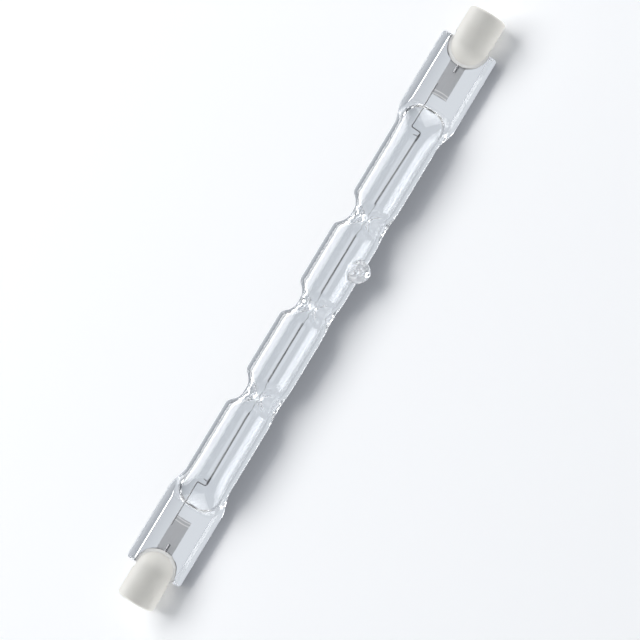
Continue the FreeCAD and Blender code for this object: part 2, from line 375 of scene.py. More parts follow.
def unpick(piece, kind):
    """Let go of all that is picked on this piece. What is picked next is of one kind: VERT, EDGE or FACE."""
    edit(piece)
    bpy.ops.mesh.select_mode(type=kind)
    bpy.ops.mesh.select_all(action="DESELECT")
    leave_edit()


print("objects left selected by loading:", len(bpy.context.selected_objects))
clear_selection()

# %% [markdown]
# Every new piece is named straight away, and its place is moved from the object into its mesh, as in the
# frame. The places of its vertices are read and set all at once, as an array in millimetres.


# %% Helpers for names and vertices
def started(name):
    """Name the primitive that was just added."""
    piece = bpy.context.object
    piece.name = name
    piece.data.name = name
    return piece


def settle(piece):
    """Put the object at the origin, unturned and unscaled, with its place in its mesh."""
    take(piece)
    bpy.ops.object.transform_apply(location=True, rotation=True, scale=True)


def points_of(piece):
    """The piece's vertices as an array, in millimetres."""
    flat = np.empty(len(piece.data.vertices) * 3)
    piece.data.vertices.foreach_get("co", flat)
    return flat.reshape(-1, 3) / MM


def move_points(piece, points):
    """Put the piece's vertices at these places, in millimetres."""
    piece.data.vertices.foreach_set("co", (points * MM).ravel())
    piece.data.update()
    print(f"{piece.name}: {len(points)} vertices shaped")


# %% [markdown]
# The tube itself is a cylinder along X whose long edges are divided by `subdivide_edgering`, which is what
# a modeller does to get many even rings at once. Each ring is then moved to its place and takes its
# outline.


# %% A ringed tube
def ringed_tube(name, sides, places, ring_at):
    """A cylinder along X, divided into rings, each shaped by ring_at."""
    clear_selection()
    length = places[-1] - places[0]
    bpy.ops.mesh.primitive_cylinder_add(vertices=sides, radius=MM, depth=length * MM,
                                        rotation=(0, math.pi / 2, 0))
    tube = started(name)
    settle(tube)
    unpick(tube, "EDGE")
    points = points_of(tube)
    for side in tube.data.edges:
        first, second = side.vertices
        side.select = bool(abs(points[first][0] - points[second][0]) > length / 2)
    edit(tube)
    bpy.ops.mesh.subdivide_edgering(number_cuts=len(places) - 2, interpolation="LINEAR")
    leave_edit()
    points = points_of(tube)
    row = np.rint((points[:, 0] - places[0]) / length * (len(places) - 1)).astype(int)
    turn = np.rint(np.arctan2(points[:, 2], points[:, 1]) / (2 * math.pi) * sides).astype(int) % sides
    rings = np.array([ring_at(x) for x in places])
    move_points(tube, np.column_stack([places[row], rings[row, turn]]))
    return tube


envelope = ringed_tube("quartz_envelope_skin", SKIN_SIDES, outer_places,
                       lambda x: rounded_end(x, outer_ring(x)))

# %% [markdown]
# ## The hollow
# The hollow inside the tube follows the same pinches, keeps the wall's thickness, and closes to a flat
# rounded nose in each shoulder. Inside the crimps the soft glass folded a little as it was pinched, so the
# skin has small wrinkles there, which make the crimps glitter. The hollow is a second skin inside the
# first.

# %% The hollow's skin
BORE_SIDES = 96
NOSE_START = 36.7
NOSE_LENGTH = 2.95
NOSE_TIP = 39.62
NOSE_ROUND = 0.45
NOSE_LEAST = 0.02
HOLLOW_FLARE = 0.75
HOLLOW_LENGTH = 8.3
WRINKLE = 0.11
WRINKLE_COUNT = 11
WRINKLE_RATE = 4.1
WRINKLE_TWIST = 1.3
NOSE_RUNS = ((31.5, 39.0, 0.22), (39.0, 39.5, 0.07), (39.5, NOSE_TIP, 0.02))


def inner_ring(x):
    """The hollow's outline at one place along the bulb."""
    far = abs(x)
    angle = np.arange(BORE_SIDES) * (2 * math.pi / BORE_SIDES)
    folds = np.sin(WRINKLE_COUNT * angle + WRINKLE_TWIST * x) * math.sin(WRINKLE_RATE * x)
    radius = dented_radius(BORE_RADIUS, CRIMP_PASSAGE, x, angle) + WRINKLE * crimp_strength(x) * folds
    share = min(max((far - SHOULDER) / HOLLOW_LENGTH, 0), 1)
    nose = min(max(far - NOSE_START, 0) / NOSE_LENGTH, 1)
    wide = (1 + HOLLOW_FLARE / BORE_RADIUS * share ** 2) * math.sqrt(1 - nose ** 2)
    last = min(max(far - (NOSE_TIP - NOSE_ROUND), 0) / NOSE_ROUND, 1)
    closing = math.sqrt(max(1 - last ** 2, NOSE_LEAST ** 2))
    high = math.cos(math.pi / 2 * share) ** SHOULDER_FULLNESS * closing
    return np.column_stack([radius * wide * np.cos(angle), radius * high * np.sin(angle)])


hollow = ringed_tube("hollow", BORE_SIDES, spaced(*TUBE_RUNS, *NOSE_RUNS), inner_ring)

# %% [markdown]
# ## The exhaust tip
# The tube was filled through a thin side tube, which was then melted off and left a small dome with a
# drawn-out point. A dome could be joined on with a Boolean, but the seam would glitter in clear glass. Here
# the skin itself is drawn out, as it was in the flame. First a disc of it is divided finer.

# %% Divide a disc of skin
TIP_PLACE = 9.4
TIP_LEAN = math.radians(52)
tip_along = np.array([0, -math.sin(TIP_LEAN), math.cos(TIP_LEAN)])
tip_beside = np.cross(tip_along, (1, 0, 0))


def divide_disc(skin, reach, cuts):
    """Divide the faces of the skin around the tip's axis."""
    unpick(skin, "FACE")
    for face in skin.data.polygons:
        away = np.array(face.center) / MM - (TIP_PLACE, 0, 0)
        outward = away @ tip_along
        face.select = bool(outward > 0 and math.hypot(away[0], away @ tip_beside) < reach)
    edit(skin)
    bpy.ops.mesh.subdivide(number_cuts=cuts)
    leave_edit()
    print(f"{skin.name}: {len(skin.data.vertices)} vertices after dividing")


# %% [markdown]
# The profile of the tip is a line of (distance from its axis, height above the tube). Cutting its corners
# three times makes it smooth. It is then read by its length, so that the skin spreads evenly over it.


# %% A smooth profile
def profile_by_length(corners):
    """A smooth profile of (distance from the axis, height), read by its share of length from the top."""
    corners = np.array(corners, float)
    for _ in range(3):
        quarter = corners[:-1] * 0.75 + corners[1:] * 0.25
        three = corners[:-1] * 0.25 + corners[1:] * 0.75
        cut = np.empty((2 * len(quarter), 2))
        cut[0::2], cut[1::2] = quarter, three
        corners = np.vstack([corners[:1], cut, corners[-1:]])
    steps = np.hypot(*np.diff(corners, axis=0).T)
    along = np.concatenate([[0], np.cumsum(steps)]) / steps.sum()
    return along, corners


TIP_PROFILE = [(0, 2.8), (0.16, 2.8), (0.3, 2.62), (0.42, 2.36), (0.8, 2.16), (1.35, 1.85), (1.8, 1.3),
               (2.05, 0.7), (2.1, 0.3), (2.14, 0.05), (2.4, 0), (2.75, 0)]
TIP_BORE = [(0, 2.2), (0.14, 2.2), (0.3, 1.95), (0.5, 1.45), (0.8, 0.9), (0.94, 0.4), (1.0, 0.06), (1.2, 0),
            (1.5, 0)]
print("points on the tip's profile:", len(profile_by_length(TIP_PROFILE)[1]))

# %% [markdown]
# The disc is now pulled along the tip's axis onto the profile, and the hollow is drawn out under it in the
# same way. The point drifts a little to one side, as the pulled glass did, and the melted bore is lumpy,
# which fills the tip with small bright specks. Near its foot the tip wraps around the round tube, and a
# band beyond it is made round again.

# %% Draw the tip out
TIP_DRIFT = 0.45
TIP_HEIGHT = TIP_PROFILE[0][1]
BORE_LUMPS = 0.14
LUMPS_AROUND = 5
LUMPS_UP = 9
LUMPS_START = 0.5
WRAP_START = 0.3
WRAP_LENGTH = 0.6
DISC_MARGIN = 0.3
ROUND_BAND = 0.8
SEARCH_MARGIN = 1.0


def draw_out(skin, radius, corners, cuts, lumps=0.0):
    """Pull the disc of skin around the tip's axis onto a profile, with lumps as a share of its width."""
    reach = corners[-1][0]
    divide_disc(skin, reach + DISC_MARGIN, cuts)
    points = points_of(skin)
    ahead, beside, out = points[:, 0] - TIP_PLACE, points @ tip_beside, points @ tip_along
    near = (out > 0) & (np.maximum(np.abs(ahead), np.abs(beside)) < reach + SEARCH_MARGIN)
    spread = np.arctan2(beside, out) * radius
    away = np.hypot(ahead, spread)
    inside = near & (away < reach)
    along, curve = profile_by_length(corners)
    rho, lift = (np.interp(away[inside] / reach, along, part) for part in curve.T)
    turn = np.arctan2(spread[inside], ahead[inside])
    waves = np.sin(LUMPS_AROUND * turn + LUMPS_UP * lift) * np.clip(lift / LUMPS_START, 0, 1)
    rho = rho * (1 + lumps * waves)
    wrapped = smooth_step((rho / reach - WRAP_START) / WRAP_LENGTH)
    straight = rho * np.sin(turn)
    side = straight * (1 - wrapped) + radius * np.sin(straight / radius) * wrapped
    fall = (radius - np.sqrt(np.clip(radius ** 2 - side ** 2, 0, None))) * wrapped
    x = TIP_PLACE + rho * np.cos(turn) + TIP_DRIFT * np.clip(lift / TIP_HEIGHT, 0, 1) ** 2
    up = radius + lift - fall
    points[inside] = np.outer(x, (1, 0, 0)) + np.outer(side, tip_beside) + np.outer(up, tip_along)
    band = near & ~inside & (away < reach + ROUND_BAND)
    points[band, 1:] *= (radius / np.hypot(points[band, 1], points[band, 2]))[:, None]
    move_points(skin, points)


draw_out(envelope, TUBE_RADIUS, TIP_PROFILE, cuts=2)
draw_out(hollow, BORE_RADIUS, TIP_BORE, cuts=3, lumps=BORE_LUMPS)

# %% [markdown]
# ## One piece of glass
# A finished piece is cleaned, smoothed, rolled to where the bulb lies, dressed, and put in the place of its
# node. The helpers for that serve all the other pieces too. Doubled vertices are merged before the faces
# are turned outwards, because Blender only sees which side is outside on a closed skin.

# %% Helpers for finishing a piece
MERGE_GAP = 0.0005


def tidy_mesh(piece):
    """Merge doubled vertices and turn all faces outwards."""
    edit_all(piece)
    bpy.ops.mesh.remove_doubles(threshold=MERGE_GAP * MM)
    bpy.ops.mesh.normals_make_consistent(inside=False)
    leave_edit()


def join(pieces):
    """Join several pieces into the first one."""
    clear_selection()
    for piece in pieces:
        piece.select_set(True)
    bpy.context.view_layer.objects.active = pieces[0]
    bpy.ops.object.join()
    return pieces[0]


def smooth(piece, degrees):
    """Shade smooth, apart from edges that are sharper than an angle."""
    take(piece)
    bpy.ops.object.shade_smooth_by_angle(angle=math.radians(degrees))


def lay_down(piece):
    """Roll a level piece to where the bulb rests, with its place kept in its mesh."""
    piece.rotation_euler = (ROLL, 0, 0)
    settle(piece)


def dress(piece, finish):
    """Give a piece its finish."""
    piece.data.materials.clear()
    piece.data.materials.append(finish)


def keep(piece, node):
    """The finished piece rides on the bulb and stands for a node of the frame."""
    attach(piece, "root")
    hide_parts(node)
    print(f"{piece.name}: {len(piece.data.vertices)} vertices, {len(piece.data.polygons)} faces, for {node}")


# %% [markdown]
# Both skins are joined into one piece of glass. Its faces have to point away from the glass, so those of
# the hollow are flipped to point into the hollow.

# %% Join the two skins
for skin in (envelope, hollow):
    tidy_mesh(skin)
edit_all(hollow)
bpy.ops.mesh.flip_normals()
leave_edit()
glass = join([envelope, hollow])
smooth(glass, degrees=50)
lay_down(glass)
dress(glass, quartz)
keep(glass, "quartz_envelope")

# %% [markdown]
# ## The filament
# One tungsten wire, as thin as a hair, is wound into four close runs, one to each chamber of the tube, with
# straight legs through the crimps. The Screw modifier winds a small circle into such a run. Turns are wound
# tight where each end grips its lead, and the cut end of the wire sticks out there.

# %% Coiled and straight wire
WIRE_RADIUS = 0.04
TURN_RADIUS = 0.17
WIRE_SIDES = 8
STRAIGHT_SIDES = 12
END_ROUNDING = 0.4
TURN_STEPS = 10


def apply_modifier(piece, kind, **settings):
    """Add a modifier, set it up and apply it."""
    take(piece)
    modifier = piece.modifiers.new(kind.lower(), kind)
    for name, value in settings.items():
        setattr(modifier, name, value)
    bpy.ops.object.modifier_apply(modifier=modifier.name)


def wound_run(start, stop, pitch):
    """Turns of wire along X, beginning and ending at the top."""
    clear_selection()
    turns = max(round((stop - start) / pitch), 1)
    bpy.ops.mesh.primitive_circle_add(vertices=WIRE_SIDES, radius=WIRE_RADIUS * MM,
                                      rotation=(math.pi / 2, 0, 0),
                                      location=(start * MM, 0, TURN_RADIUS * MM))
    run = started("coiled_run")
    settle(run)
    apply_modifier(run, "SCREW", axis="X", angle=2 * math.pi, screw_offset=(stop - start) / turns * MM,
                   iterations=turns, steps=TURN_STEPS, render_steps=TURN_STEPS, use_smooth_shade=True)
    print(f"run of {turns} turns from {start:.2f} to {stop:.2f} mm")
    return run


def straight_wire(start, stop, radius):
    """A straight length of wire between two points, with its ends rounded."""
    clear_selection()
    start, stop = Vector(start) * MM, Vector(stop) * MM
    along = stop - start
    bpy.ops.mesh.primitive_cylinder_add(vertices=STRAIGHT_SIDES, radius=radius * MM, depth=along.length,
                                        location=(start + stop) / 2,
                                        rotation=along.to_track_quat("Z", "Y").to_euler())
    length = started("straight_wire")
    settle(length)
    apply_modifier(length, "BEVEL", width=radius * END_ROUNDING * MM, segments=2, limit_method="ANGLE")
    return length


# %% [markdown]
# The runs, the legs between them and the two cut ends are made one by one and joined. The open ends of the
# runs are closed then.

# %% Wind the filament
COIL_PITCH = 0.16
TIGHT_PITCH = 0.084
INNER_RUN = (3.2, 14.6)
OUTER_RUN = (21.0, 35.0)
TIGHT_RUN = (33.85, 35.0)
LEG_HALF = 3.3
CUT_END = ((34.58, 0.1, 0), (34.46, 0.95, 0.05))
CUT_END_RADIUS = 0.064

runs = []
for side in (-1, 1):
    for (start, stop), pitch in ((INNER_RUN, COIL_PITCH), (OUTER_RUN, COIL_PITCH), (TIGHT_RUN, TIGHT_PITCH)):
        first, last = sorted((side * start, side * stop))
        runs.append(wound_run(first, last, pitch))
for place in CRIMPS:
    start, stop = ((place + reach, 0, TURN_RADIUS) for reach in (-LEG_HALF, LEG_HALF))
    runs.append(straight_wire(start, stop, WIRE_RADIUS))
for side in (-1, 1):
    start, stop = ((side * x, y, z) for x, y, z in CUT_END)
    runs.append(straight_wire(start, stop, CUT_END_RADIUS))
filament = join(runs)
filament.name = "tungsten_filament"
unpick(filament, "EDGE")
edit_all(filament)
bpy.ops.mesh.fill_holes(sides=0)
bpy.ops.mesh.select_all(action="SELECT")
bpy.ops.mesh.normals_make_consistent(inside=False)
leave_edit()
print("filament:", len(filament.data.polygons), "faces")

# %% [markdown]
# The outer runs don't hang straight: each slopes a little to where its lead holds it. Turning the runs one
# by one would open a gap to the legs, so the vertices are moved by their share of the way along each run
# instead.

# %% Slope the outer runs
DROOP = {-1: 0.15, 1: 0.4}

points = points_of(filament)
for side, droop in DROOP.items():
    share = np.clip((side * points[:, 0] - OUTER_RUN[0]) / (OUTER_RUN[1] - OUTER_RUN[0]), 0, None)
    points[:, 1] -= droop * share
move_points(filament, points)
lay_down(filament)

# %% [markdown]
# Drawn tungsten is a dark grey metal, mottled after its first burning. Fine noise blends two greys and
# makes the paler spots a little rougher.

# %% Tungsten finish
tungsten, wire = new_finish("tungsten")
mottle = grain(wire, scale=9000.0, detail=3.0)
grey = blend_colours(wire, mottle, (0.26, 0.26, 0.27, 1), (0.46, 0.46, 0.47, 1))
close_finish(wire, wire.add("ShaderNodeBsdfPrincipled", None, {
    "Base Color": grey, "Metallic": 1.0, "Roughness": 0.35 + mottle * 0.25}))
dress(filament, tungsten)
smooth(filament, degrees=40)
keep(filament, "filament")

# %% [markdown]
# ## Wires and foils of molybdenum
# The leads are drawn wire and the foils are rolled strip, thinner than paper. Their solids in the frame
# have the right shape, so they stay and only get their finish. The wire has fine streaks along it.

# %% Finish of the leads
drawn_wire, wire = new_finish("molybdenum_wire")
streaks = grain(wire, scale=6000.0, detail=3.0, stretch=(0.05, 1, 1))
grey = blend_colours(wire, streaks, (0.22, 0.22, 0.23, 1), (0.40, 0.40, 0.41, 1))
close_finish(wire, wire.add("ShaderNodeBsdfPrincipled", None, {
    "Base Color": grey, "Metallic": 1.0, "Roughness": 0.28 + streaks * 0.2}))

# %% [markdown]
# The foil has a soft crinkle and the streaks of rolling. Two bowed near-white lines are painted into its
# colour
# across its inner end: painted highlights, in place of the glints where it was pressed onto the lead. They
# follow from the foil's own coordinates, turned level.

# %% Finish of the foils
# Places, half width and bow of the two painted highlight lines across the foil
GLINT_LINES = (42.55, 43.15)
GLINT_HALF = 0.1
GLINT_BOW = 0.06

rolled_foil, wire = new_finish("molybdenum_foil")
crinkle = grain(wire, scale=700.0, detail=2.0)
streaks = grain(wire, scale=5000.0, detail=2.0, stretch=(0.08, 1, 1))
level = wire.add("ShaderNodeMapping", None, {"Vector": wire.add("ShaderNodeTexCoord", output="Object"),
                                             "Rotation": (-ROLL, 0, 0), "Scale": (1 / MM, 1 / MM, 1 / MM)})
along = wire.add("ShaderNodeSeparateXYZ", None, {"Vector": level}, "X")
across = wire.add("ShaderNodeSeparateXYZ", None, {"Vector": level}, "Y")
bowed = wire.math("ABSOLUTE", along) + across * across * GLINT_BOW
first_glint, second_glint = (wire.math("LESS_THAN", wire.math("ABSOLUTE", bowed - line), GLINT_HALF)
                           for line in GLINT_LINES)
rolled = blend_colours(wire, streaks, (0.60, 0.61, 0.63, 1), (0.71, 0.72, 0.74, 1))
# Painted highlight: the foil's colour turns near white on the two lines
grey = blend_colours(wire, first_glint + second_glint, rolled, (0.97, 0.97, 0.97, 1))
dimple = wire.add("ShaderNodeBump", None, {"Strength": 0.25, "Distance": 0.00005, "Height": crinkle})
close_finish(wire, wire.add("ShaderNodeBsdfPrincipled", None, {
    "Base Color": grey, "Metallic": 1.0, "Roughness": 0.3 + streaks * 0.15, "Normal": dimple}))

# %% [markdown]
# A node of the frame keeps its mesh and its place. Only what is in its material slot changes.


# %% Dress the leads and the foils
def refinish(node, finish):
    """Give a node of the frame a better finish."""
    dress(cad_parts[node], finish)
    print("refinished", node)


for side in ("left", "right"):
    refinish("inner_lead_" + side, drawn_wire)
    refinish("outer_lead_" + side, drawn_wire)
    refinish("foil_" + side, rolled_foil)

# %% [markdown]
# ## Ceramic caps
# Each cap is pressed from steatite, a creamy white ceramic, and fired with a thin satin glaze. It is a
# round body with a recess for the contact, domed towards the bulb and slotted there, so that two rounded
# ears straddle the seal. A cylinder could be bevelled and inset to that shape, but one outline of arcs and
# straight lines holds all of it.

# %% Outline of the cap
CAP_RADIUS = 3.5
DOME = 52.4
RIM = 58.8
RIM_EDGE = 0.45
SEAT = 56.5
CONTACT_FACE = 57.1
RECESS_RADIUS = 2.1
RECESS_EDGE = 0.2
SEAT_RADIUS = 1.8


def arc(centre, radius, start, stop, count):
    """Points on an arc in the plane of the outline, by angles in degrees."""
    angles = np.radians(np.linspace(start, stop, count))
    return [(centre[0] + radius * math.cos(a), centre[1] + radius * math.sin(a)) for a in angles]


cap_outline = arc((DOME, 0), CAP_RADIUS, start=180, stop=90, count=22)
cap_outline += [(x, CAP_RADIUS) for x in np.linspace(DOME, RIM - RIM_EDGE, 12)[1:-1]]
cap_outline += arc((RIM - RIM_EDGE, CAP_RADIUS - RIM_EDGE), RIM_EDGE, start=90, stop=0, count=8)
cap_outline += arc((RIM - RECESS_EDGE, RECESS_RADIUS + RECESS_EDGE), RECESS_EDGE, start=0, stop=-90, count=5)
cap_outline += [(CONTACT_FACE, RECESS_RADIUS), (CONTACT_FACE, SEAT_RADIUS), (SEAT, SEAT_RADIUS), (SEAT, 0)]
print("cap outline of", len(cap_outline), "points")

# %% [markdown]
# A plane merged to a single vertex starts the outline, and extruding that vertex from point to point draws
# it. Spin then turns it around the axis, and merging its doubles closes the seam and both poles.

# %% Spin the cap
CAP_STEPS = 96


def drawn_line(name, places):
    """A line of vertices, extruded from place to place, left in edit mode with everything picked."""
    clear_selection()
    bpy.ops.mesh.primitive_plane_add(size=MM)
    line = started(name)
    edit_all(line)
    bpy.ops.mesh.select_mode(type="VERT")
    bpy.ops.mesh.merge(type="CENTER")
    bpy.ops.mesh.select_all(action="SELECT")
    bpy.ops.transform.translate(value=places[0])
    for before, after in zip(places, places[1:]):
        bpy.ops.mesh.extrude_vertices_move(TRANSFORM_OT_translate={"value": after - before})
    bpy.ops.mesh.select_all(action="SELECT")
    return line


cap = drawn_line("ceramic_cap_right_piece", [Vector((x, radius, 0)) * MM for x, radius in cap_outline])
bpy.ops.mesh.spin(steps=CAP_STEPS, angle=2 * math.pi, center=(0, 0, 0), axis=(1, 0, 0))
tidy_mesh(cap)
print("spun cap:", len(cap.data.vertices), "vertices")

# %% [markdown]
# The slot is cut as with a saw: three bisects mark its two walls and its floor, and the faces between them
# are deleted.

# %% Cut the slot
SLOT_HALF = 1.0
SLOT_FLOOR = 53.75
CUT_GAP = 0.0001

cuts = [((0, 0, -SLOT_HALF), (0, 0, 1)), ((0, 0, SLOT_HALF), (0, 0, 1)), ((SLOT_FLOOR, 0, 0), (1, 0, 0))]
for place, facing in cuts:
    edit_all(cap)
    bpy.ops.mesh.bisect(plane_co=Vector(place) * MM, plane_no=facing, threshold=CUT_GAP * MM)
unpick(cap, "FACE")
for face in cap.data.polygons:
    centre = face.center / MM
    face.select = abs(centre.z) < SLOT_HALF and centre.x < SLOT_FLOOR
edit(cap)
bpy.ops.mesh.delete(type="FACE")
leave_edit()
print("cap with its slot open:", len(cap.data.polygons), "faces")

# %% [markdown]
# Each wall lacks an edge along the floor of the slot. That edge is added between its two corners, and then
# the two walls and the floor are filled in.

# %% Fill the walls and the floor
NEAR = 0.004
CORNER_NEAR = 0.02

corner_y = math.sqrt(CAP_RADIUS ** 2 - SLOT_HALF ** 2)


def pick_edges(piece, test):
    """In edit mode, pick the edges whose two ends pass a test on their places in millimetres."""
    unpick(piece, "EDGE")
    places = points_of(piece)
    for side in piece.data.edges:
        side.select = all(test(place) for place in places[list(side.vertices)])
    edit(piece)


def on_wall(level):
    """A test for points on one wall of the slot."""
    return lambda place: abs(place[2] - level) < NEAR and place[0] < SLOT_FLOOR + NEAR


def on_floor(place):
    """A test for points on the floor of the slot."""
    return abs(place[0] - SLOT_FLOOR) < NEAR and abs(place[2]) < SLOT_HALF + NEAR


for level in (-SLOT_HALF, SLOT_HALF):
    unpick(cap, "VERT")
    for vertex, point in zip(cap.data.vertices, points_of(cap)):
        at_floor = on_floor(point) and abs(point[2] - level) < NEAR
        vertex.select = bool(at_floor and abs(abs(point[1]) - corner_y) < CORNER_NEAR)
    edit(cap)
    bpy.ops.mesh.edge_face_add()
    pick_edges(cap, on_wall(level))
    bpy.ops.mesh.edge_face_add()
pick_edges(cap, on_floor)
bpy.ops.mesh.edge_face_add()
leave_edit()
print("cap with its slot filled:", len(cap.data.polygons), "faces")

# %% [markdown]
# Glaze rounds the edges of the ears and gathers in the corner along the floor, so the whole outline of each
# wall is bevelled. A closed body has no open edges left, and that is counted.

# %% Bevel the ears
SLOT_BEVEL = 0.1

for level in (-SLOT_HALF, SLOT_HALF):
    pick_edges(cap, on_wall(level))
    bpy.ops.mesh.bevel(offset=SLOT_BEVEL * MM, segments=3, affect="EDGES", clamp_overlap=False)
tidy_mesh(cap)
unpick(cap, "EDGE")
edit(cap)
bpy.ops.mesh.select_non_manifold(extend=False)
leave_edit()
open_edges = sum(side.select for side in cap.data.edges)
print("cap with its slot:", len(cap.data.polygons), "faces, open edges:", open_edges)

# %% [markdown]
# The glaze is thin and satin, so the ceramic shows through it: a cream white with a hint of grain and faint
# clouds from firing. The second cap is a copy turned half round, with its own mesh.

# %% Ceramic finish and the second cap
ceramic, wire = new_finish("ceramic")
clouds = grain(wire, scale=350.0, detail=3.0)
specks = grain(wire, scale=4200.0, detail=2.0)
cream = blend_colours(wire, clouds, (0.80, 0.785, 0.735, 1), (0.87, 0.86, 0.82, 1))
pores = wire.add("ShaderNodeBump", None, {"Strength": 0.18, "Distance": 0.00004, "Height": specks})
close_finish(wire, wire.add("ShaderNodeBsdfPrincipled", None, {
    "Base Color": cream, "Roughness": 0.42 + specks * 0.2, "Specular IOR Level": 0.4, "Normal": pores}))
dress(cap, ceramic)
smooth(cap, degrees=35)


def turned_copy(piece, name, turn):
    """A copy that is turned about the origin, with its own mesh."""
    take(piece)
    bpy.ops.object.duplicate(linked=False)
    copy = started(name)
    copy.rotation_euler = turn
    settle(copy)
    return copy


HALF_ROUND = (0, 0, math.pi)
other_cap = turned_copy(cap, "ceramic_cap_left_piece", HALF_ROUND)
for piece, side in ((cap, "right"), (other_cap, "left")):
    lay_down(piece)
    keep(piece, "ceramic_cap_" + side)

# %% [markdown]
# ## Cement
# Each cap is held by a bed of matt cement on both flats of the seal, which swells out as a pale uneven bead
# around the ears and feathers out on the glass. Its section is drawn as a closed line and spun around the
# dome's centre.

# %% Spin the bead
BEAD = [(1.2, 0.846), (1.2, 0.994), (3.37, 0.994), (3.33, 1.12), (3.28, 1.26), (3.38, 1.2),
        (3.5, 1.09), (3.62, 0.98), (3.72, 0.9), (3.8, 0.846)]
BEAD_STEPS = 60
BEAD_TURN = math.radians(188)

start = (math.pi - BEAD_TURN) / 2
away = Vector((-math.sin(start), math.cos(start), 0))
section = [(Vector((DOME, 0, z)) + away * r) * MM for r, z in BEAD]
upper = drawn_line("cement_right_piece", section + section[:1])
bpy.ops.mesh.remove_doubles(threshold=MERGE_GAP * MM)
bpy.ops.mesh.select_all(action="SELECT")
bpy.ops.mesh.spin(steps=BEAD_STEPS, angle=-BEAD_TURN, center=(DOME * MM, 0, 0), axis=(0, 0, 1))
bpy.ops.mesh.select_all(action="SELECT")
bpy.ops.mesh.fill_holes(sides=0)
tidy_mesh(upper)
print("bead on the upper flat:", len(upper.data.polygons), "faces")

# %% [markdown]
# A few waves make the bead uneven, as a hand would leave it. The bead on the lower flat is a copy turned
# over.

# %% Shape the bead and turn a copy over
BEAD_HALF = 3.9
BEAD_FOOT = 3.3
BEAD_SWELL = 0.3
BEAD_WAVES = ((5, 0.035, 0.4), (11, 0.025, 1.9), (23, 0.015, 0.7))
TURNED_OVER = (math.pi, 0, 0)

points = points_of(upper)
out = points[:, :2] - (DOME, 0)
reach = np.hypot(out[:, 0], out[:, 1])
turn = np.arctan2(out[:, 1], out[:, 0])
lump = sum(size * np.sin(count * turn + phase) for count, size, phase in BEAD_WAVES)
swell = np.clip((reach - BEAD_FOOT) / BEAD_SWELL, 0, 1) * lump
points[:, :2] += out / reach[:, None] * swell[:, None]
points[:, 1] = np.clip(points[:, 1], -BEAD_HALF, BEAD_HALF)
move_points(upper, points)
bead_pair = join([upper, turned_copy(upper, "lower_bead", TURNED_OVER)])

# %% [markdown]
# Dry cement is a matt near-white with the grain of fine sand. The cement at the other end is a copy turned
# half round.

# %% Cement finish and the other end
cement, wire = new_finish("cement")
sand = grain(wire, scale=3000.0, detail=4.0)
pale = blend_colours(wire, sand, (0.90, 0.895, 0.88, 1), (0.96, 0.96, 0.95, 1))
rough = wire.add("ShaderNodeBump", None, {"Strength": 0.5, "Distance": 0.00008, "Height": sand})
close_finish(wire, wire.add("ShaderNodeBsdfPrincipled", None, {
    "Base Color": pale, "Roughness": 0.75 + sand * 0.2, "Normal": rough}))
dress(bead_pair, cement)
smooth(bead_pair, degrees=60)
other_pair = turned_copy(bead_pair, "cement_left_piece", HALF_ROUND)
for piece, side in ((bead_pair, "right"), (other_pair, "left")):
    lay_down(piece)
    keep(piece, "cement_" + side)

# %% [markdown]
# ## Contacts
# A nickel plated contact sits at the bottom of each recess. It was turned on a lathe, so its face has fine
# rings, and it is a little tarnished. Its solid in the frame has the right shape and only gets this finish.

# %% Nickel finish
nickel, wire = new_finish("contact_metal")
place = wire.add("ShaderNodeTexCoord", output="Object")
rings = wire.add("ShaderNodeTexWave", {"wave_type": "RINGS", "rings_direction": "X"},
                 {"Vector": place, "Scale": 1600.0, "Distortion": 0.4, "Detail": 1.0})
tarnish = grain(wire, scale=900.0, detail=3.0)
tone = blend_colours(wire, tarnish, (0.56, 0.53, 0.48, 1), (0.70, 0.68, 0.64, 1))
turned = wire.add("ShaderNodeBump", None, {"Strength": 0.2, "Distance": 0.00001, "Height": rings})
close_finish(wire, wire.add("ShaderNodeBsdfPrincipled", None, {
    "Base Color": tone, "Metallic": 1.0, "Roughness": 0.2 + tarnish * 0.2, "Normal": turned}))
for side in ("left", "right"):
    refinish("contact_" + side, nickel)

# %% [markdown]
# ## The white ground
# The bulb lies on a white ground that keeps its shadow. The ground is one plane, and what it does depends
# on who looks: the eye, the light that goes from piece to piece, or glass and metal. The Light Path node
# tells them apart.

# %% Ground and places on it
FLOOR_SIZE = 3.0

clear_selection()
bpy.ops.mesh.primitive_plane_add(size=FLOOR_SIZE, location=(0, 0, -TUBE_RADIUS * MM))
ground = started("ground")
white_ground, wire = new_finish("white_ground")
by_eye = wire.add("ShaderNodeLightPath", output="Is Camera Ray")
by_bounce = wire.add("ShaderNodeLightPath", output="Is Diffuse Ray")
by_mirror = wire.add("ShaderNodeLightPath", output="Is Glossy Ray")
by_glass = wire.add("ShaderNodeLightPath", output="Is Transmission Ray")
spot = wire.add("ShaderNodeTexCoord", output="Object")
away = wire.add("ShaderNodeVectorMath", {"operation": "LENGTH"}, {0: spot}, "Value")
aside = wire.add("ShaderNodeSeparateXYZ", None, {"Vector": spot}, "Y") * (1 / MM)


def rise(value, start, stop):
    """0 before start, 1 after stop and a smooth rise between them."""
    ramp = {"interpolation_type": "SMOOTHSTEP"}
    return wire.add("ShaderNodeMapRange", ramp, {"Value": value, "From Min": start, "From Max": stop})


print("ground of", FLOOR_SIZE, "m at", round(ground.location.z / MM, 2), "mm")

# %% [markdown]
# For the eye the ground is white paper with a little glow of its own, and more of it far away, where the
# lamps don't reach. For the light that goes from piece to piece it has a faint warm glow. Both only add to
# the paper, so the shadow stays.

# %% Paper and its glow
PAPER = (0.97, 0.97, 0.97, 1)
GLOW_TINT = (0.92, 0.97, 1.06)
NEAR_GLOW = 0.23
FAR_GLOW = 0.93
FAR_RANGE = (0.25, 1.1)
BOUNCE_TINT = (1.0, 0.975, 0.92, 1)
BOUNCE_GLOW = 0.1

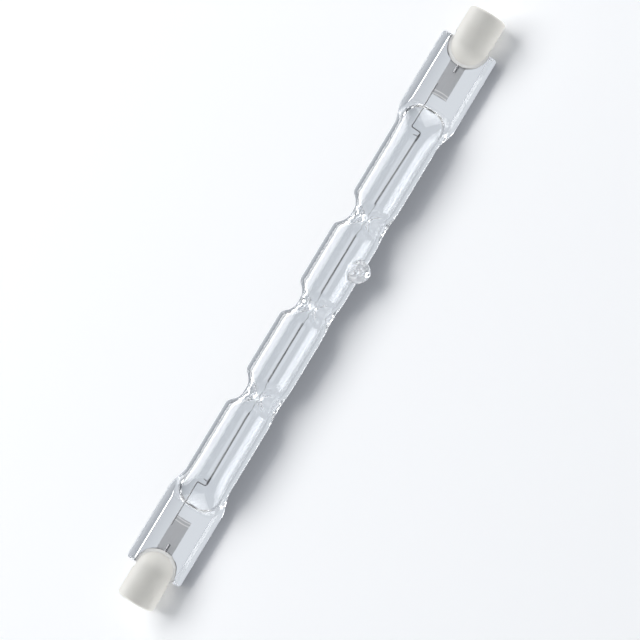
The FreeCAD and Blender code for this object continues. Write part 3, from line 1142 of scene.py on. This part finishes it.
paper = wire.add("ShaderNodeBsdfDiffuse", None, {"Color": PAPER})
near_tint, far_tint = ([part * level for part in GLOW_TINT] + [1] for level in (NEAR_GLOW, FAR_GLOW))
glow_tint = blend_colours(wire, rise(away, *FAR_RANGE), near_tint, far_tint)
glow = wire.add("ShaderNodeEmission", None, {"Color": glow_tint, "Strength": by_eye})
bounce = wire.add("ShaderNodeEmission", None, {"Color": BOUNCE_TINT, "Strength": by_bounce * BOUNCE_GLOW})
glows = wire.add("ShaderNodeAddShader", None, {0: glow, 1: bounce})
open_ground = wire.add("ShaderNodeAddShader", None, {0: paper, 1: glows})
print("glow for the eye, near and far:", NEAR_GLOW, FAR_GLOW)

# %% [markdown]
# Clear glass on plain white would vanish. So glass and metal see the ground as a sheet with a pale strip
# under the bulb that fades to a dimmer ground on both sides, and the glass bends that dimmer ground into
# dark lines along its edges. On the +Y side the dimming is a backdrop, as a photographer keeps the ground
# dimmer beside the glass. On the -Y side it is painted shadow: it stands for the bulb's own shadow on the
# ground, which this glowing sheet does not receive.

# %% The ground that glass sees
PALE_STRIP = (0.66, 0.695, 0.74, 1)
DIM_GROUND = (0.40, 0.425, 0.46, 1)
# Painted shadow: towards -Y the strip fades to the dim ground where the bulb's shadow falls on the real
# ground
STRIP_NEAR = (-5.4, -3.2)
STRIP_FAR = (2.5, 15.0)

on_strip = rise(aside, *STRIP_NEAR) * (1 - rise(aside, *STRIP_FAR))
strip_tint = blend_colours(wire, on_strip, DIM_GROUND, PALE_STRIP)
in_glass = wire.add("ShaderNodeEmission", None, {"Color": strip_tint})
seen_in_glass = by_mirror + by_glass
close_finish(wire, wire.add("ShaderNodeMixShader", None, {0: seen_in_glass, 1: open_ground, 2: in_glass}))
dress(ground, white_ground)

# %% [markdown]
# ## Lamps
# One large soft lamp hangs above the bulb on the +Y side, so the shadow falls towards -Y. A weaker one
# hangs overhead and a low one fills the -Y side. Those two stay out of the glass, which shows the large one
# as its brightest band.

# %% Soft lamps
LAMP_DISTANCE = 1.2


def soft_lamp(name, lean, size, radiance, distance=LAMP_DISTANCE):
    """A soft rectangular lamp over the bulb's axis, leaning from upright towards +Y by degrees."""
    data = bpy.data.lights.new(name, "AREA")
    data.shape = "RECTANGLE"
    data.size, data.size_y = size
    data.energy = radiance * math.pi * size[0] * size[1]
    lamp = bpy.data.objects.new(name, data)
    scene.collection.objects.link(lamp)
    angle = math.radians(lean)
    place = Vector((0, math.sin(angle), math.cos(angle))) * distance
    lamp.matrix_world = Matrix.Translation(place) @ Matrix.Rotation(-angle, 4, "X")
    lamp.visible_camera = False
    print(f"{name}: {data.energy:.2f} W")
    return lamp


def not_in_glass(lamp):
    """Keep a lamp's own shape out of glass and metal."""
    lamp.visible_glossy = False
    lamp.visible_transmission = False


soft_lamp("key_lamp", lean=39, size=(1.15, 0.84), radiance=4.4)
not_in_glass(soft_lamp("top_lamp", lean=12, size=(1.3, 0.4), radiance=0.7))
not_in_glass(soft_lamp("fill_lamp", lean=-84, size=(1.7, 0.25), radiance=0.9))

# %% [markdown]
# Glass shows the cards around it as white bands and lines. A wing beside the large lamp makes the band
# along the tube's other side, a card around the camera gives the foils their grey, and a card beyond each
# end draws the white lines across the shoulders. The cards light nothing else.

# %% Cards that only glass and metal see
END_CARD_LEAN = math.radians(78)
CAMERA_CARD_DISTANCE = 0.6


def only_in_glass(lamp):
    """A card that shows in glass and metal and lights nothing else."""
    lamp.visible_diffuse = False


only_in_glass(soft_lamp("key_wing", lean=67.5, size=(1.15, 0.36), radiance=6.2))
only_in_glass(soft_lamp("camera_card", lean=-math.degrees(ROLL), size=(0.5, 0.5), radiance=0.82,
                        distance=CAMERA_CARD_DISTANCE))
for name, side in (("left_card", -1), ("right_card", 1)):
    card = soft_lamp(name, lean=0, size=(0.46, 1.2), radiance=3.0)
    card.matrix_world = Matrix.Rotation(side * END_CARD_LEAN, 4, "Y") @ card.matrix_world
    only_in_glass(card)

# %% [markdown]
# Light also reaches the caps along the bulb, through the glass, and from the ground beside it. The grey
# sheet that stands for the glass in shadows would stop it, so three lamps are linked to the caps and their
# cement: they light nothing else, and nothing else shades them. They whiten the domes and the sides and
# leave a darker band between.

# %% Lamps for the caps
CAP_LIGHT = 26.0
CAP_LIGHT_LIFT = math.radians(2.5)
CAP_LAMP_DISTANCE = 0.6
CAP_BOUNCE = 4.4

cap_pieces = bpy.data.collections.new("cap_pieces")
for piece in (cap, other_cap, bead_pair, other_pair):
    cap_pieces.objects.link(piece)


def only_for_caps(lamp):
    """A lamp that lights and is shaded by nothing but the caps and their cement."""
    lamp.light_linking.receiver_collection = cap_pieces
    lamp.light_linking.blocker_collection = cap_pieces
    not_in_glass(lamp)


for name, side in (("left_cap_lamp", -1), ("right_cap_lamp", 1)):
    lamp = soft_lamp(name, lean=0, size=(0.3, 0.07), radiance=CAP_LIGHT)
    lift = math.sin(CAP_LIGHT_LIFT)
    toward_lamp = Vector((side * math.cos(CAP_LIGHT_LIFT), -math.sin(ROLL) * lift, math.cos(ROLL) * lift))
    turn = toward_lamp.to_track_quat("Z", "Y").to_matrix().to_4x4()
    lamp.matrix_world = Matrix.Translation(toward_lamp * CAP_LAMP_DISTANCE) @ turn
    only_for_caps(lamp)
only_for_caps(soft_lamp("cap_bounce_lamp", lean=-100, size=(0.6, 0.2), radiance=CAP_BOUNCE,
                        distance=CAP_LAMP_DISTANCE))

# %% [markdown]
# ## Room
# The rest of the room is a dim pale blue, and plain white for the eye. Light goes through many walls of
# glass here, so it may bounce often. Caustics would only add bright grains, so they are left out.

# %% Room and bounces
ROOM = 0.11
BOUNCES = 64

room = bpy.data.worlds.new("room")
scene.world = room
room.use_nodes = True
room.node_tree.nodes.clear()
wire = Wire(room.node_tree)
by_eye = wire.add("ShaderNodeLightPath", output="Is Camera Ray")
tint = blend_colours(wire, by_eye, (0.86, 0.92, 1.0, 1), (1, 1, 1, 1))
air = wire.add("ShaderNodeBackground", None, {"Color": tint, "Strength": ROOM + by_eye * (1 - ROOM)})
close_finish(wire, air, "ShaderNodeOutputWorld")
scene.cycles.caustics_refractive = False
scene.cycles.caustics_reflective = False
scene.cycles.max_bounces = BOUNCES
scene.cycles.transmission_bounces = BOUNCES
scene.cycles.glossy_bounces = BOUNCES
print("bounces:", scene.cycles.max_bounces)

# %% [markdown]
# ## Camera
# The photograph looks straight down on the flats of the seals, with the bulb's axis turned in the picture.
# The camera therefore stands over the flats, leaning as the bulb is rolled, and its own up direction is
# turned instead.

# %% Camera
CAMERA_DISTANCE = 0.412
LENS = 135
SENSOR = 36
CLIP_START = 0.01
AXIS_TURN = math.radians(58.9)
OFF_CENTRE = (1.39, -1.97)

toward = Vector((0, -math.sin(ROLL), math.cos(ROLL)))
across = Vector((0, math.cos(ROLL), math.sin(ROLL)))
along = Vector((1, 0, 0))
right = along * math.cos(AXIS_TURN) - across * math.sin(AXIS_TURN)
up = along * math.sin(AXIS_TURN) + across * math.cos(AXIS_TURN)
centre = (right * OFF_CENTRE[0] + up * OFF_CENTRE[1]) * MM
camera_data = bpy.data.cameras.new("camera")
camera_data.lens = LENS
camera_data.sensor_width = SENSOR
camera_data.clip_start = CLIP_START
camera = bpy.data.objects.new("camera", camera_data)
scene.collection.objects.link(camera)
turned = Matrix((right, up, toward)).transposed().to_4x4()
camera.matrix_world = Matrix.Translation(centre + toward * CAMERA_DISTANCE) @ turned
scene.camera = camera
print("camera at", [round(v, 4) for v in camera.matrix_world.translation])

# %% [markdown]
# ## The end
